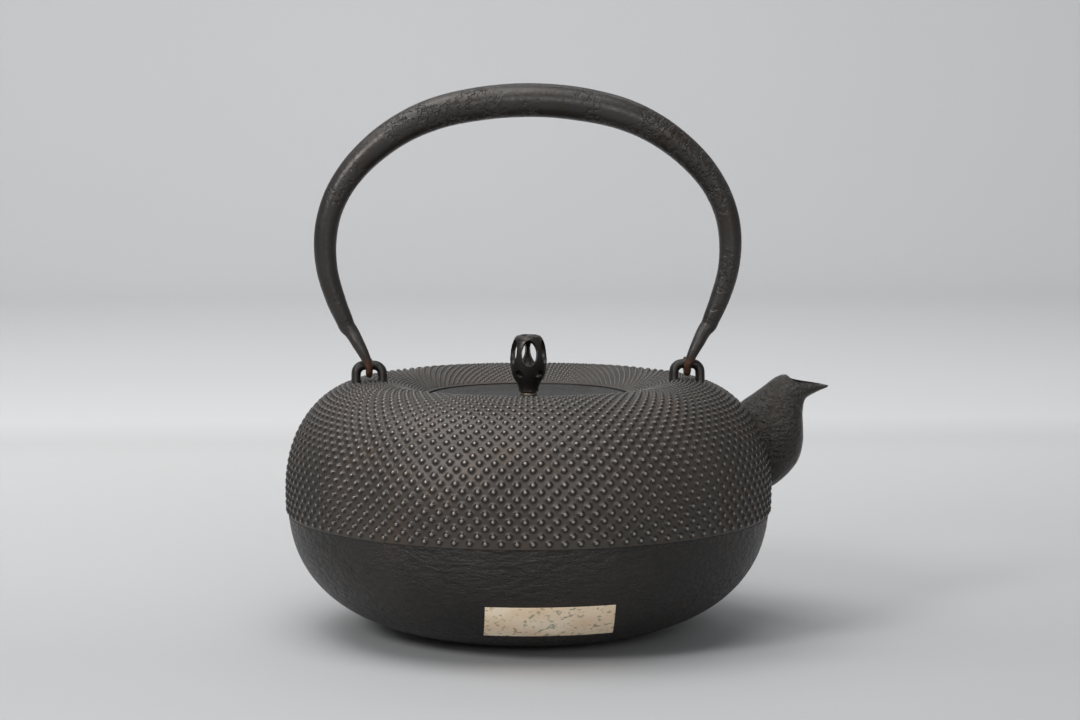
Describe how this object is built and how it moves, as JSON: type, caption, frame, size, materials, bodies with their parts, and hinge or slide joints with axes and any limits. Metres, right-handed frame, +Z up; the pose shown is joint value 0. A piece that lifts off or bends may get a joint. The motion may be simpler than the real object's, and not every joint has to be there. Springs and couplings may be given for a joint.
{
  "type": "cast iron kettle",
  "caption": "Flat round cast iron kettle with a studded upper half, beak spout, hinged arched bail in cast lugs, and a lifting lid with an openwork bud knob.",
  "frame": {"origin": "middle of the flat base, on the surface that the kettle stands on", "axes": "+Z up, +X towards the spout, the bail spans X and swings about X"},
  "size_m": [0.2122, 0.1892, 0.2132],
  "materials": {
    "body_iron": "satin sand-cast iron, lacquered dark grey-brown",
    "bail_iron": "dark forged iron, smooth sheen with pitted patches",
    "hook_iron": "forged iron, worn rust-brown in the eye",
    "lid_iron": "smooth matte dark grey",
    "knob_iron": "dark, slightly glossy",
    "rivet_bronze": "dull dark bronze",
    "label_paper": "matte cream paper with flecks"
  },
  "bodies": {
    "kettle": {"kettle_body": "body_iron", "spout": "body_iron", "lug_front": "body_iron", "lug_rear": "body_iron", "paper_label": "label_paper"},
    "bail": {"bail_tube": "bail_iron", "bail_hook_front": "hook_iron", "bail_hook_rear": "hook_iron"},
    "lid": {"lid_plate": "lid_iron", "knob_collar": "rivet_bronze", "knob_washer": "rivet_bronze", "knob_rivet": "rivet_bronze"},
    "knob": {"knob": "knob_iron"}
  },
  "joints": [
    {"name": "bail_swing", "type": "hinge", "parent": "kettle", "child": "bail", "pos_m": [0, 0, 0.1041], "axis": [1, 0, 0], "range_deg": [-80, 65]},
    {"name": "lid_lift", "type": "slide", "parent": "kettle", "child": "lid", "axis": [0, 0, 1], "range_m": [0, 0.06]},
    {"name": "knob_spin", "type": "hinge", "parent": "lid", "child": "knob", "pos_m": [0, 0, 0.1046], "axis": [0, 0, 1], "continuous": true}
  ]
}
